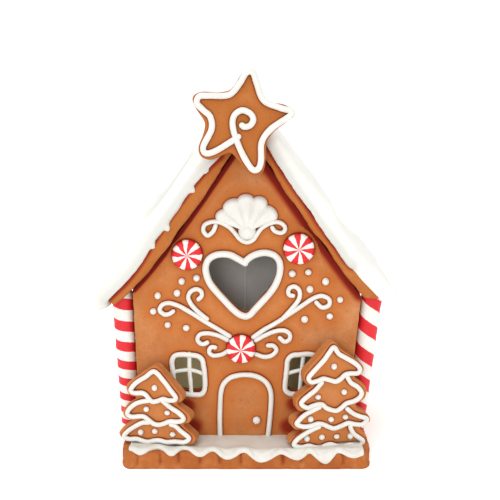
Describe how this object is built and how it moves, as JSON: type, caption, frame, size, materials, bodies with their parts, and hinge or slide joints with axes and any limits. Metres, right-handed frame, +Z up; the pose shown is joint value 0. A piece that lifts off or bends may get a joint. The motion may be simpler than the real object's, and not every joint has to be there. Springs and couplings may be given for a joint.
{
  "type": "gingerbread house",
  "caption": "Decorated gingerbread house of clay with a heart-shaped window, snow-covered roof, star, candy canes and fir trees on a brick plinth.",
  "frame": {"origin": "on the table, under the middle of the plinth", "axes": "-Y is the front with the door and the heart window, +X is to the right seen from the front, +Z is up"},
  "size_m": [0.1578, 0.123, 0.1973],
  "materials": {
    "gingerbread": "matte orange-brown clay with a fine grain and small pits",
    "icing": "smooth off-white clay, satin",
    "snow": "soft off-white clay, matt, slightly lumpy",
    "peppermint": "red and white stripes, satin",
    "lining": "grey sheet, matt"
  },
  "bodies": {
    "root": {"back_wall": "gingerbread", "base": "gingerbread", "base_snow": "snow", "base_snow_back": "snow", "candy_centre": "peppermint", "candy_left": "peppermint", "candy_right": "peppermint", "cane_left_back": "peppermint", "cane_left_front": "peppermint", "cane_right_back": "peppermint", "cane_right_front": "peppermint", "door_icing": "icing", "door_knob": "icing", "dot_01": "icing", "dot_02": "icing", "dot_03": "icing", "dot_04": "icing", "dot_05": "icing", "dot_06": "icing", "dot_07": "icing", "dot_08": "icing", "dot_09": "icing", "dot_10": "icing", "dot_11": "icing", "dot_12": "icing", "dot_13": "icing", "dot_14": "icing", "front_wall": "gingerbread", "heart_icing": "icing", "left_wall": "gingerbread", "lining": "lining", "right_wall": "gingerbread", "roof_left": "gingerbread", "roof_right": "gingerbread", "roof_snow": "snow", "scroll_left_high": "icing", "scroll_left_low": "icing", "scroll_left_middle": "icing", "scroll_right_high": "icing", "scroll_right_low": "icing", "scroll_right_middle": "icing", "shell": "icing", "shell_scroll": "icing", "star": "gingerbread", "star_icing": "icing", "tree_left": "gingerbread", "tree_left_icing_1": "icing", "tree_left_icing_2": "icing", "tree_left_icing_3": "icing", "tree_right": "gingerbread", "tree_right_icing_1": "icing", "tree_right_icing_2": "icing", "tree_right_icing_3": "icing", "tree_right_icing_4": "icing", "window_left_icing": "icing", "window_right_icing": "icing"}
  },
  "joints": []
}
